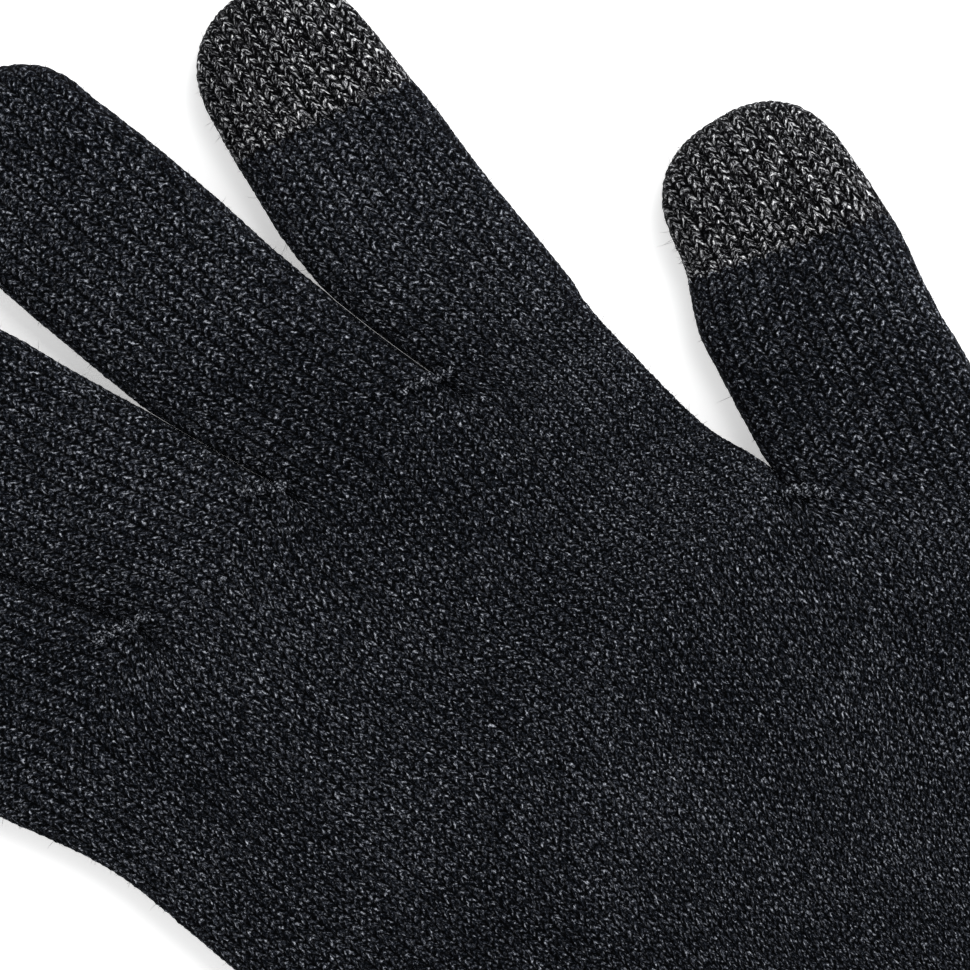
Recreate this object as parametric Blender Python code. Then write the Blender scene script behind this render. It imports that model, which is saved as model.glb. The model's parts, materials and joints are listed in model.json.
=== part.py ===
"""Knitted touchscreen glove for the right hand, lying flat with its palm side up.

Metres, +Z up, +Y towards the fingertips, the thumb at +X. The origin is on the underside, in the middle of
the palm. The glove is a flat-knit tube that splits into five finger tubes and ends in a ribbed cuff. Each
length of tube between two creases is its own open sleeve, and each crease is a hinge line in the palm-side
surface, so a finger that curls up opens a gap at its back and never cuts into the length behind it.
"""

import math

import bpy
import numpy as np

MM = 0.001

# Sleeves: the shape of a tube's section, and what keeps neighbouring pieces apart
RING_POINTS = 32
SECTION_POWER = 3.0
FLOOR_PRESS = 0.35 * MM
FLOOR_LIFT = 0.1 * MM
KNIT_WALL = 1.8 * MM
SEGMENT_GAP = 0.4 * MM
SEAT_GAP = 0.3 * MM
CUT_PAST = 3.0 * MM

# Palm
PALM_WIDTH = 108.0 * MM
WRIST_WIDTH = 89.0 * MM
WRIST_Y = -70.0 * MM
PALM_TAPER_LENGTH = 60.0 * MM
WRIST_HEIGHT = 11.0 * MM
PALM_END_HEIGHT = 10.0 * MM
PALM_CROWN = 2.0 * MM
PALM_STATIONS = 13
# The finger crotches lie on one parabola: its height on the middle line, its slope there and its bend
CROTCH_Y = 58.65 * MM
CROTCH_SLOPE = -0.163
CROTCH_BEND = -3.05

# Fingers: height of the flattened tube, how soon it reaches its full width past the crease, and the length
# over which it narrows to its tip
FINGER_HEIGHT = 9.5 * MM
FULL_WIDTH_AFTER = 20.0 * MM
TIP_TAPER_LENGTH = 18.0 * MM
ROOT_DEPTH = 28.0 * MM
TIP_ANGLES = np.radians([0, 22, 42, 60, 74, 85])
TIP_ROUND_POWER = 0.55
TIP_LIFT_SHARE = 0.35


# Widths at the root crease, in the middle and where the tip starts to round
INDEX_WIDTHS = (27.2, 28.3, 26.4)
MIDDLE_WIDTHS = (27.5, 30.4, 29.0)
RING_WIDTHS = (29.0, 30.2, 28.6)
LITTLE_WIDTHS = (31.4, 29.6, 27.0)
# The roots stand side by side. Each slit is measured between two roots' full widths, and is below nothing
# where the bearings turn the fingers apart past the root.
MIDDLE_ROOT_X = 17.05
INDEX_SLIT = -0.1
RING_SLIT = -0.3
LITTLE_SLIT = 0.8
INDEX_ROOT_X = MIDDLE_ROOT_X + (MIDDLE_WIDTHS[0] + INDEX_WIDTHS[0]) / 2 + INDEX_SLIT
RING_ROOT_X = MIDDLE_ROOT_X - (MIDDLE_WIDTHS[0] + RING_WIDTHS[0]) / 2 - RING_SLIT
LITTLE_ROOT_X = RING_ROOT_X - (RING_WIDTHS[0] + LITTLE_WIDTHS[0]) / 2 - LITTLE_SLIT


def finger(root, bearing, bend, widths, crease_y, lengths):
    """Sizes of one finger: its axis starts at root, bearing degrees from +Y towards +X, and turns by bend
    over its whole length; crease_y is the hinge line across the root; lengths are the three tube lengths
    past it."""
    return {
        "root": np.array(root) * MM,
        "bearing": math.radians(bearing),
        "bend": math.radians(bend),
        "halves": [width * MM / 2 for width in widths],
        "crease_y": crease_y * MM,
        "lengths": [length * MM for length in lengths],
        "height": FINGER_HEIGHT,
    }


FINGERS = {
    "index": finger((INDEX_ROOT_X, 50.0), 11.3, 4.8, INDEX_WIDTHS, 55.0, (16.0, 16.5, 23.2)),
    "middle": finger((MIDDLE_ROOT_X, 53.7), 0.8, 0.0, MIDDLE_WIDTHS, 64.5, (23.0, 20.5, 24.0)),
    "ring": finger((RING_ROOT_X, 59.2), -9.5, 0.0, RING_WIDTHS, 67.0, (19.5, 18.0, 23.0)),
    "little": finger((LITTLE_ROOT_X, 60.0), -18.5, -2.0, LITTLE_WIDTHS, 66.0, (14.0, 13.0, 20.0)),
}
INDEX_TIP_SLANT = math.radians(13.0)

# Thumb: its axis, the slanted crease at its root, and the gusset that leads to it from the wrist. Distances
# from the palm's edge are along X, and less than nothing inside the palm.
THUMB_ROOT_FROM_EDGE = 14.2 * MM
THUMB_ROOT_Y = -10.6 * MM
THUMB_ROOT = np.array([PALM_WIDTH / 2 + THUMB_ROOT_FROM_EDGE, THUMB_ROOT_Y])
THUMB_BEARING = math.radians(24.0)
THUMB_WIDTHS = (31.8, 32.2, 29.4)
THUMB_ROOT_SLANT = math.radians(16.0)
THUMB_HEIGHT = 10.0 * MM
THUMB_BASE_LENGTH = 31.0 * MM
THUMB_BAND_LENGTH = 5.0 * MM
THUMB_TIP_LENGTH = 22.0 * MM
THUMB_TIP_SLANT = math.radians(11.0)
GUSSET_HEIGHT = 10.4 * MM
GUSSET_STEPS = (  # centre's distance from the palm's edge, centre y, bearing in degrees, width
    (3.5, -26.5, 29.0, 33.5),
    (-9.0, -42.0, 39.0, 38.0),
    (-21.0, -53.0, 48.0, 36.0),
)

# Cuff
CUFF_LENGTH = 58.0 * MM
CUFF_WAIST_WIDTH = 84.0 * MM
CUFF_END_WIDTH = 90.0 * MM
CUFF_WAIST_SHARE = 1.0 / 3.0
CUFF_HEIGHT = 11.0 * MM
CUFF_WALL = 2.4 * MM
ELASTIC_AT = [10.0 * MM, 22.0 * MM, 34.0 * MM]
ELASTIC_WIDTH = 2.4 * MM
ELASTIC_THICKNESS = 0.6 * MM
EDGE_LENGTH = 2.6 * MM
EDGE_PROUD = 0.5 * MM

# Small pieces
TACK_LENGTH = 7.5 * MM
TACK_RADIUS = 0.8 * MM
TACK_SETBACK = 1.2 * MM
WEB_TACK_INSET = 4.0 * MM
WEB_TACK_SETBACK = 2.5 * MM
LABEL_SIZE = (26.0 * MM, 16.0 * MM, 0.4 * MM)
LABEL_X = -10.0 * MM
LABEL_FROM_EDGE = 2.5 * MM
LABEL_STITCH_WIDTH = 0.8 * MM
LABEL_STITCH_HEIGHT = 0.3 * MM
LABEL_STITCH_INSET = 2.0 * MM

FINISHES = {  # colour, roughness
    "body_yarn": ((0.012, 0.014, 0.019), 0.92),
    "conductive_yarn": ((0.020, 0.021, 0.024), 0.55),
    "rib_yarn": ((0.012, 0.014, 0.019), 0.92),
    "elastic": ((0.030, 0.030, 0.032), 0.70),
    "label_tape": ((0.160, 0.160, 0.165), 0.60),
    "thread": ((0.018, 0.018, 0.022), 0.75),
}


def clear_scene():
    for obj in list(bpy.data.objects):
        bpy.data.objects.remove(obj, do_unlink=True)


def new_collection(name):
    collection = bpy.data.collections.new(name)
    bpy.context.scene.collection.children.link(collection)
    return collection


def finish(name):
    """The material of this name, made on first use."""
    material = bpy.data.materials.get(name)
    if material is None:
        colour, roughness = FINISHES[name]
        material = bpy.data.materials.new(name)
        material.use_nodes = True
        shader = material.node_tree.nodes["Principled BSDF"]
        shader.inputs["Base Color"].default_value = (*colour, 1.0)
        shader.inputs["Roughness"].default_value = roughness
        shader.inputs["Metallic"].default_value = 0.0
    return material


def add_object(name, points, faces, material, collection):
    mesh = bpy.data.meshes.new(name)
    mesh.from_pydata([tuple(point) for point in points], [], faces)
    mesh.materials.append(finish(material))
    mesh.shade_smooth()
    mesh.set_sharp_from_angle(angle=math.radians(40))
    obj = bpy.data.objects.new(name, mesh)
    collection.objects.link(obj)
    return obj


# Sections and rings


def smooth(share):
    """Smooth step from 0 to 1."""
    share = np.clip(share, 0.0, 1.0)
    return share * share * (3 - 2 * share)


def section(half_width, height, floor):
    """Across and up of a flattened tube's section: a superellipse whose underside is pressed flat."""
    turn = np.linspace(0, 2 * np.pi, RING_POINTS, endpoint=False)
    power = 2 / SECTION_POWER
    across = half_width * np.sign(np.cos(turn)) * np.abs(np.cos(turn)) ** power
    half_height = (height + FLOOR_PRESS) / 2
    up = half_height * (1 + np.sign(np.sin(turn)) * np.abs(np.sin(turn)) ** power)
    return across, np.maximum(up, FLOOR_PRESS) - FLOOR_PRESS + floor


def ring(centre, bearing, slant, half_width, height, floor):
    """A section set square to bearing at centre, its right side drawn back by the slant angle."""
    across, up = section(half_width, height, floor)
    along = -math.tan(slant) * across
    x = centre[0] + across * math.cos(bearing) + along * math.sin(bearing)
    y = centre[1] - across * math.sin(bearing) + along * math.cos(bearing)
    return np.stack([x, y, up], axis=1)


def wall_faces(first, count, rings):
    """Quads between successive rings of count points, facing out when the rings run away from the viewer."""
    faces = []
    for step in range(rings - 1):
        low = first + step * count
        for i in range(count):
            j = (i + 1) % count
            faces.append((low + i, low + count + i, low + count + j, low + j))
    return faces


def cap_faces(first, count, at_end):
    """A strip that closes a ring, joining each point of its upper half to the one straight below it."""
    half = count // 2
    faces = [(first, first + 1, first + count - 1)]
    for i in range(1, half - 1):
        faces.append((first + i, first + i + 1, first + count - i - 1, first + count - i))
    faces.append((first + half - 1, first + half, first + half + 1))
    return [face[::-1] for face in faces] if at_end else faces


def solid(name, rings, material, collection):
    """A closed solid through the rings."""
    count = RING_POINTS
    faces = wall_faces(0, count, len(rings))
    faces += cap_faces(0, count, False)
    faces += cap_faces((len(rings) - 1) * count, count, True)
    return add_object(name, np.concatenate(rings), faces, material, collection)


def sleeve(name, outer, inner, material, collection, closed=False):
    """A tube with a wall between the outer and the inner rings, open at its start, and closed or open at
    its end."""
    count = RING_POINTS
    outer_last = (len(outer) - 1) * count
    inner_first = len(outer) * count
    inner_last = inner_first + (len(inner) - 1) * count
    faces = wall_faces(0, count, len(outer))
    faces += [face[::-1] for face in wall_faces(inner_first, count, len(inner))]
    for i in range(count):
        j = (i + 1) % count
        faces.append((i, j, inner_first + j, inner_first + i))
        if not closed:
            faces.append((outer_last + j, outer_last + i, inner_last + i, inner_last + j))
    if closed:
        faces += cap_faces(outer_last, count, True)
        faces += cap_faces(inner_last, count, False)
    return add_object(name, np.concatenate([*outer, *inner]), faces, material, collection)


# Fingers


def tip_distance(sizes):
    """Distance along the axis from the root to the very tip."""
    return crease_distance(sizes) + sum(sizes["lengths"])


def axis_point(sizes, distance):
    """Centre and bearing of a finger's axis: the chord from its root has the mean bearing so far."""
    total = sum(sizes["lengths"])
    chord = sizes["bearing"] + sizes["bend"] * distance / (2 * total)
    centre = sizes["root"] + distance * np.array([math.sin(chord), math.cos(chord)])
    return centre, sizes["bearing"] + sizes["bend"] * distance / total


def crease_distance(sizes):
    """Distance along the axis from the root to the hinge line."""
    return (sizes["crease_y"] - sizes["root"][1]) / math.cos(sizes["bearing"])


def round_start(sizes):
    """Distance at which the tip starts to round: half its width there before the very tip."""
    return tip_distance(sizes) - sizes["halves"][2]


def finger_half_width(sizes, distance):
    """Half the tube's width: it grows past the crease and narrows again to where the tip starts to round."""
    root, middle, tip = sizes["halves"]
    grown = smooth((distance - crease_distance(sizes)) / FULL_WIDTH_AFTER)
    narrowed = smooth((distance - round_start(sizes)) / TIP_TAPER_LENGTH + 1)
    return root + (middle - root) * grown + (tip - middle) * narrowed


def finger_ring(sizes, distance, slant, inset):
    """A ring of the finger tube, inset from its outer surface."""
    centre, bearing = axis_point(sizes, distance)
    half = finger_half_width(sizes, distance) - inset
    return ring(centre, bearing, slant, half, sizes["height"] - 2 * inset, FLOOR_LIFT + inset)


def finger_sleeve(name, sizes, start, end, material, collection):
    """An open length of finger tube. start and end are (distance, slant)."""
    middle = ((start[0] + end[0]) / 2, (start[1] + end[1]) / 2)
    places = [start, middle, end]
    outer = [finger_ring(sizes, *place, 0.0) for place in places]
    inner = [finger_ring(sizes, *place, KNIT_WALL) for place in places]
    return sleeve(name, outer, inner, material, collection)


def tip_rings(sizes, start, slant, inset):
    """Rings of a fingertip: straight to where the round starts, then each narrower and lower than the last."""
    half = sizes["halves"][2] - inset
    height = sizes["height"] - 2 * inset
    rings = [finger_ring(sizes, start, slant, inset)]
    for angle in TIP_ANGLES:
        centre, bearing = axis_point(sizes, round_start(sizes) + half * math.sin(angle))
        shrink = math.cos(angle) ** TIP_ROUND_POWER
        floor = FLOOR_LIFT + inset + (1 - shrink) * height * TIP_LIFT_SHARE
        rings.append(ring(centre, bearing, 0.0, half * math.cos(angle), height * shrink, floor))
    return rings


def fingertip(name, sizes, start, slant, material, collection):
    """A length of tube from start to the closed tip."""
    outer = tip_rings(sizes, start, slant, 0.0)
    inner = tip_rings(sizes, start, slant, KNIT_WALL)
    return sleeve(name, outer, inner, material, collection, closed=True)


def finger_pieces(name, sizes, collection):
    """Three lengths of tube, each half a gap short of the hinge lines between them."""
    half_gap = SEGMENT_GAP / 2
    crease = crease_distance(sizes)
    second = crease + sizes["lengths"][0]
    third = second + sizes["lengths"][1]
    root_slant = -axis_point(sizes, crease)[1]
    conductive = name == "index"
    slant = INDEX_TIP_SLANT if conductive else 0.0
    finger_sleeve(
        f"{name}_proximal", sizes, (crease + half_gap, root_slant), (second - half_gap, 0.0),
        "body_yarn", collection,
    )
    finger_sleeve(
        f"{name}_middle", sizes, (second + half_gap, 0.0), (third - half_gap, slant),
        "body_yarn", collection,
    )
    end_name = f"{name}_conductive_tip" if conductive else f"{name}_distal"
    end_yarn = "conductive_yarn" if conductive else "body_yarn"
    fingertip(end_name, sizes, third + half_gap, slant, end_yarn, collection)


def thumb_sizes():
    """The thumb as a finger whose root is in the middle of its slanted crease."""
    return {
        "root": THUMB_ROOT,
        "bearing": THUMB_BEARING,
        "bend": 0.0,
        "halves": [width * MM / 2 for width in THUMB_WIDTHS],
        "crease_y": THUMB_ROOT[1],
        "height": THUMB_HEIGHT,
        "lengths": [THUMB_BASE_LENGTH, THUMB_BAND_LENGTH, THUMB_TIP_LENGTH],
    }


def thumb_pieces(collection):
    half_gap = SEGMENT_GAP / 2
    sizes = thumb_sizes()
    band = THUMB_BASE_LENGTH
    cap = band + THUMB_BAND_LENGTH
    finger_sleeve(
        "thumb_base", sizes, (half_gap, THUMB_ROOT_SLANT), (band - half_gap, 0.0),
        "body_yarn", collection,
    )
    finger_sleeve(
        "thumb_distal", sizes, (band + half_gap, 0.0), (cap - half_gap, THUMB_TIP_SLANT),
        "body_yarn", collection,
    )
    fingertip(
        "thumb_conductive_tip", sizes, cap + half_gap, THUMB_TIP_SLANT, "conductive_yarn", collection,
    )


# Palm


def crotch_line(x):
    """How far towards the fingertips the palm reaches at x."""
    return CROTCH_Y + CROTCH_SLOPE * x + CROTCH_BEND * x * x


def palm_half_width(y):
    taper = smooth((y - WRIST_Y) / PALM_TAPER_LENGTH)
    return (WRIST_WIDTH + (PALM_WIDTH - WRIST_WIDTH) * taper) / 2


def palm_height(share):
    """Height of the palm at a share of the way from the wrist to the crotches."""
    return WRIST_HEIGHT + (PALM_END_HEIGHT - WRIST_HEIGHT) * share + PALM_CROWN * math.sin(math.pi * share)


def palm_rings(inset, past_wrist):
    """Rings from the wrist's straight line to the crotch line."""
    rings = []
    start = WRIST_Y - past_wrist
    for share in np.linspace(0.0, 1.0, PALM_STATIONS):
        half = palm_half_width(start + (CROTCH_Y - start) * share) - inset
        across, up = section(half, palm_height(share) - 2 * inset, inset)
        y = start + (crotch_line(across) - inset - start) * share
        rings.append(np.stack([across, y, up], axis=1))
    return rings


def gusset_rings(inset, past_crease):
    """Rings of the thumb gusset, from inside the palm to the slanted crease."""
    rings = []
    for from_edge, y, bearing, width in reversed(GUSSET_STEPS):
        centre = (PALM_WIDTH / 2 + from_edge * MM, y * MM)
        half = width * MM / 2 - inset
        height = GUSSET_HEIGHT - 2 * inset
        rings.append(ring(centre, math.radians(bearing), 0.0, half, height, FLOOR_LIFT + inset))
    sizes = thumb_sizes()
    rings.append(finger_ring(sizes, past_crease - SEGMENT_GAP / 2, THUMB_ROOT_SLANT, inset))
    return rings


def root_rings(sizes, inset, past_crease):
    """Rings of a finger root, from inside the palm to the crease."""
    crease = crease_distance(sizes)
    slant = -axis_point(sizes, crease)[1]
    return [
        finger_ring(sizes, -ROOT_DEPTH, 0.0, inset),
        finger_ring(sizes, -ROOT_DEPTH / 3, 0.0, inset),
        finger_ring(sizes, crease - SEGMENT_GAP / 2 + past_crease, slant, inset),
    ]


def boolean(target, operation, other):
    modifier = target.modifiers.new(f"{operation.lower()} {other.name}", "BOOLEAN")
    modifier.operation = operation
    modifier.object = other


def palm_piece(collection, cutters):
    """The palm, its gusset and four finger roots joined, then hollowed by the same shapes inset by the wall."""
    palm = solid("palm_tube", palm_rings(0.0, 0.0), "body_yarn", collection)
    joined = [solid("gusset_outer", gusset_rings(0.0, 0.0), "body_yarn", cutters)]
    hollows = [solid("palm_hollow", palm_rings(KNIT_WALL, CUT_PAST), "body_yarn", cutters)]
    hollows.append(solid("gusset_hollow", gusset_rings(KNIT_WALL, CUT_PAST), "body_yarn", cutters))
    for name, sizes in FINGERS.items():
        joined.append(solid(f"{name}_root_outer", root_rings(sizes, 0.0, 0.0), "body_yarn", cutters))
        hollow = root_rings(sizes, KNIT_WALL, CUT_PAST)
        hollows.append(solid(f"{name}_root_hollow", hollow, "body_yarn", cutters))
    for other in joined:
        boolean(palm, "UNION", other)
    for other in hollows:
        boolean(palm, "DIFFERENCE", other)
    for other in joined + hollows:
        other.hide_render = True
        other.display_type = "WIRE"


# Cuff


def cuff_ring(distance, inset):
    """A ring of the cuff, at a distance from the wrist towards the arm. The cuff narrows to its waist and
    widens again to its mouth."""
    share = distance / CUFF_LENGTH
    narrowed = smooth(share / CUFF_WAIST_SHARE)
    widened = smooth((share - CUFF_WAIST_SHARE) / (1 - CUFF_WAIST_SHARE))
    width = WRIST_WIDTH + (CUFF_WAIST_WIDTH - WRIST_WIDTH) * narrowed
    width += (CUFF_END_WIDTH - CUFF_WAIST_WIDTH) * widened
    across, up = section(width / 2 - inset, CUFF_HEIGHT - 2 * inset, inset)
    return np.stack([across, np.full(RING_POINTS, WRIST_Y - distance), up], axis=1)


def band_depth():
    """Inset of the floor of an elastic's groove: the band and its clearance below the inner face."""
    return CUFF_WALL - ELASTIC_THICKNESS - 2 * SEAT_GAP


def cuff_piece(collection):
    """The rib cuff, with a groove inside for each elastic."""
    start = SEGMENT_GAP
    half_groove = ELASTIC_WIDTH / 2 + SEAT_GAP
    inner_places = [(start, CUFF_WALL)]
    for at in ELASTIC_AT:
        inner_places += [(at - half_groove, CUFF_WALL), (at - half_groove, band_depth())]
        inner_places += [(at + half_groove, band_depth()), (at + half_groove, CUFF_WALL)]
    inner_places.append((CUFF_LENGTH, CUFF_WALL))
    outer = [cuff_ring(distance, 0.0) for distance in np.linspace(start, CUFF_LENGTH, 7)]
    inner = [cuff_ring(distance, inset) for distance, inset in inner_places]
    sleeve("rib_cuff", outer[::-1], inner[::-1], "rib_yarn", collection)


def elastic_pieces(collection):
    for number, at in enumerate(ELASTIC_AT, 1):
        ends = (at + ELASTIC_WIDTH / 2, at - ELASTIC_WIDTH / 2)
        outer_inset = band_depth() + SEAT_GAP
        outer = [cuff_ring(distance, outer_inset) for distance in ends]
        inner = [cuff_ring(distance, outer_inset + ELASTIC_THICKNESS) for distance in ends]
        sleeve(f"cuff_elastic_{number}", outer, inner, "elastic", collection)


def edge_piece(collection):
    """The overlocked edge: a ring that stands a little proud of the cuff's mouth, rounded along its length."""
    start = CUFF_LENGTH + SEAT_GAP
    quarter = EDGE_LENGTH / 4
    profile = [(0.0, 0.0), (quarter, EDGE_PROUD), (3 * quarter, EDGE_PROUD), (EDGE_LENGTH, 0.0)]
    outer = [edge_ring(start + along, -proud) for along, proud in profile]
    inner = [edge_ring(start + along, CUFF_WALL) for along, _ in profile]
    sleeve("cuff_overlock_edge", outer[::-1], inner[::-1], "thread", collection)


def edge_ring(distance, inset):
    """A cuff ring whose underside stays on the floor, even where the ring is larger than the cuff."""
    points = cuff_ring(distance, inset)
    points[:, 2] = np.maximum(points[:, 2], 0.0)
    return points


# Crotch tacks and label


def section_top(share, height):
    """Height of a section above its underside at a share of its half width."""
    rise = (1 - min(abs(share), 1.0) ** SECTION_POWER) ** (1 / SECTION_POWER)
    return (height + FLOOR_PRESS) / 2 * (1 + rise) - FLOOR_PRESS


def palm_top(x, y):
    """Height of the palm's upper surface at x, y."""
    share = (y - WRIST_Y) / (crotch_line(x) - WRIST_Y)
    half = palm_half_width(WRIST_Y + (CROTCH_Y - WRIST_Y) * share)
    return section_top(x / half, palm_height(share))


def finger_top(sizes, x, y):
    """Height of a finger root's upper surface at x, y."""
    from_root = np.array([x, y]) - sizes["root"]
    across = from_root[0] * math.cos(sizes["bearing"]) - from_root[1] * math.sin(sizes["bearing"])
    return FLOOR_LIFT + section_top(across / sizes["halves"][0], sizes["height"])


def tack(name, x, y, z, bearing, collection):
    """A short bar of wrapped yarn that closes a crotch: a spindle lying along bearing."""
    angles = np.linspace(0, 2 * np.pi, 10, endpoint=False)
    stations = np.linspace(-1.0, 1.0, 7)
    points = []
    for share in stations:
        radius = TACK_RADIUS * math.sqrt(max(1 - (0.9 * share) ** 4, 0.0))
        along = share * TACK_LENGTH / 2
        across = radius * np.cos(angles)
        px = x + along * math.sin(bearing) + across * math.cos(bearing)
        py = y + along * math.cos(bearing) - across * math.sin(bearing)
        points.append(np.stack([px, py, z + radius * np.sin(angles)], axis=1))
    count = len(angles)
    faces = wall_faces(0, count, len(stations))
    faces.append(tuple(range(count)))
    faces.append(tuple(reversed(range((len(stations) - 1) * count, len(stations) * count))))
    add_object(name, np.concatenate(points), faces, "thread", collection)


def crotch_x(left, right):
    """Where the slit between two neighbouring fingers meets the crotch line."""
    edges = []
    for sizes, side in ((FINGERS[left], 1), (FINGERS[right], -1)):
        crease = axis_point(sizes, crease_distance(sizes))[0]
        edges.append(crease[0] + side * sizes["halves"][0] / math.cos(sizes["bearing"]))
    return sum(edges) / 2


def tack_pieces(collection):
    """One tack at each of the three finger crotches, along the crotch line, and one at the thumb's web."""
    pairs = (("middle", "index"), ("ring", "middle"), ("little", "ring"))
    for left, right in pairs:
        x = crotch_x(left, right)
        y = crotch_line(x) - TACK_SETBACK
        slope = math.atan(CROTCH_SLOPE + 2 * CROTCH_BEND * x)
        left_top = finger_top(FINGERS[left], x - TACK_LENGTH / 2, y)
        right_top = finger_top(FINGERS[right], x + TACK_LENGTH / 2, y)
        z = max(palm_top(x, y), left_top, right_top) + TACK_RADIUS + SEAT_GAP
        tack(f"tack_{left}_{right}", x, y, z, math.pi / 2 - slope, collection)
    crease = math.pi / 2 + THUMB_BEARING + THUMB_ROOT_SLANT
    reach = THUMB_WIDTHS[0] * MM / 2 / math.cos(THUMB_ROOT_SLANT) - WEB_TACK_INSET
    x = THUMB_ROOT[0] - reach * math.sin(crease)
    y = THUMB_ROOT[1] - reach * math.cos(crease) - WEB_TACK_SETBACK
    tack("tack_thumb_web", x, y, GUSSET_HEIGHT + TACK_RADIUS, crease, collection)


def box(name, low, high, material, collection):
    x = (low[0], high[0])
    y = (low[1], high[1])
    z = (low[2], high[2])
    points = [(x[i], y[j], z[k]) for k in (0, 1) for j in (0, 1) for i in (0, 1)]
    faces = [(0, 2, 3, 1), (4, 5, 7, 6), (0, 1, 5, 4), (2, 6, 7, 3), (0, 4, 6, 2), (1, 3, 7, 5)]
    return add_object(name, points, faces, material, collection)


def label_pieces(collection):
    """A blank care label lying inside the cuff's mouth, and the row of stitches that holds it."""
    width, length, thickness = LABEL_SIZE
    edge_y = WRIST_Y - CUFF_LENGTH + LABEL_FROM_EDGE
    bottom = CUFF_WALL + SEAT_GAP
    top = bottom + thickness
    box(
        "care_label", (LABEL_X - width / 2, edge_y, bottom), (LABEL_X + width / 2, edge_y + length, top),
        "label_tape", collection,
    )
    half = width / 2 - LABEL_STITCH_INSET
    stitch_y = edge_y + LABEL_STITCH_INSET
    stitch_bottom = top + SEAT_GAP
    box(
        "label_stitching",
        (LABEL_X - half, stitch_y, stitch_bottom),
        (LABEL_X + half, stitch_y + LABEL_STITCH_WIDTH, stitch_bottom + LABEL_STITCH_HEIGHT),
        "thread", collection,
    )


def main():
    clear_scene()
    glove = new_collection("touchscreen_glove")
    cutters = new_collection("glove_cutters")
    palm_piece(glove, cutters)
    for name, sizes in FINGERS.items():
        finger_pieces(name, sizes, glove)
    thumb_pieces(glove)
    cuff_piece(glove)
    elastic_pieces(glove)
    edge_piece(glove)
    tack_pieces(glove)
    label_pieces(glove)


main()
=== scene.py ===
"""Looks of a knitted touchscreen glove for the right hand, lying flat with its palm side up.

Every knitted surface is one grid: its columns follow the wales, the upright chains of stitches, and its rows
follow the courses. Six columns make a wale and four rows make a course, so each stitch leg is raised in the
mesh itself. Lengths in the tables are millimetres in the frame's axes: +Y towards the fingertips, +Z up.
"""

import json
import math

import bpy
import numpy as np
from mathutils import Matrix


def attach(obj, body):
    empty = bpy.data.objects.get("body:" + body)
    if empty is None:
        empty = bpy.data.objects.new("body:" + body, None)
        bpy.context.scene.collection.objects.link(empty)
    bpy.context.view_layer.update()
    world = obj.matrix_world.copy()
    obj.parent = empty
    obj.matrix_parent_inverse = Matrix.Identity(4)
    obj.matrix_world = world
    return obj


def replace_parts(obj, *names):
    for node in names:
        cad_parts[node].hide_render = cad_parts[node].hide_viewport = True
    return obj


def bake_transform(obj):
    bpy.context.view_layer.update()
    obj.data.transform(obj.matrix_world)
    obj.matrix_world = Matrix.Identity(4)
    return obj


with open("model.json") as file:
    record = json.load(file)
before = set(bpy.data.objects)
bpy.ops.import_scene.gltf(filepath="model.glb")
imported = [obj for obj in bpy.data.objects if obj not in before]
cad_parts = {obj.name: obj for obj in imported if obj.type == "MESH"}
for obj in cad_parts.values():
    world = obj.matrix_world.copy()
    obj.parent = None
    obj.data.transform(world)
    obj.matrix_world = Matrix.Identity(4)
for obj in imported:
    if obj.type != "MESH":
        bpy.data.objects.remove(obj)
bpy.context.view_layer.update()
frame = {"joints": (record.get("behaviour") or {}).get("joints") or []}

MM = 0.001
PER_WALE = 6
PER_COURSE = 4
COURSE = 1.35
ROW = COURSE / PER_COURSE
LEG_RISE = 0.88  # how many courses a stitch leg falls from the middle of its wale to the edge
SECTION_POWER = 3.0
FLOOR = 0.65  # lowest point of the cloth itself, under its relief
SIDE_HEIGHT = 0.45  # share of a tube's height at which its sides lie
BACK_FLATNESS = 1.07  # how soon the back lies flat on the table, going in from the sides
SIDE_SWELL = 0.45  # how far a finger's sides swell towards its neighbours
HALF_GAP = 0.04  # from a finger's side to the line midway to its neighbour

# Half width of a flattened tube over its half height
WHOLE_FLATNESS = 11.0
PALM_FLATNESS = 9.0
FINGER_FLATNESS = 3.0
CUFF_FLATNESS = 9.5

# Front wales of each tube, from the little finger's edge to the thumb's
WALES = {"little": 17, "ring": 16, "middle": 15, "index": 15, "thumb": 16}
FIRST = {"little": 0, "ring": 17, "middle": 33, "index": 48, "thumb": 63}
FOUR_FINGERS = ("little", "ring", "middle", "index")
WEB = 63
ALL = 79

# Rows of the palm: course number, then wale, x and y along the row. The last one is the crotch row.
PALM_ROWS = (
    (0, ((0, -44.5, -70.0), (63, 26.5, -70.0), (79, 44.5, -70.0))),
    (17, ((0, -47.6, -46.0), (40, 3.5, -45.0), (63, 35.5, -48.0), (79, 58.5, -54.5))),
    (34, ((0, -52.5, -21.0), (40, 11.0, -21.0), (63, 47.0, -25.0), (79, 71.8, -36.0))),
    (51, ((0, -54.2, 3.5), (32, 1.4, 3.4), (63, 55.0, 0.2), (79, 80.9, -21.3))),
    (64, ((0, -54.0, 21.8), (17, -25.3, 23.0), (33, 2.2, 21.4), (48, 28.8, 17.6), (63, 53.7, 13.5))),
    (77, ((0, -54.5, 40.1), (17, -24.9, 43.2), (33, 3.8, 40.6), (48, 31.0, 34.6), (63, 54.8, 27.0))),
    (89, ((0, -58.9, 57.4), (17, -24.1, 60.8), (33, 5.8, 57.6), (48, 33.7, 49.7), (63, 56.5, 39.4))),
)
WEB_COURSE = 51
CROTCH_COURSE = 89
PINCH = 7  # courses over which a tube splits into its branches

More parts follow.
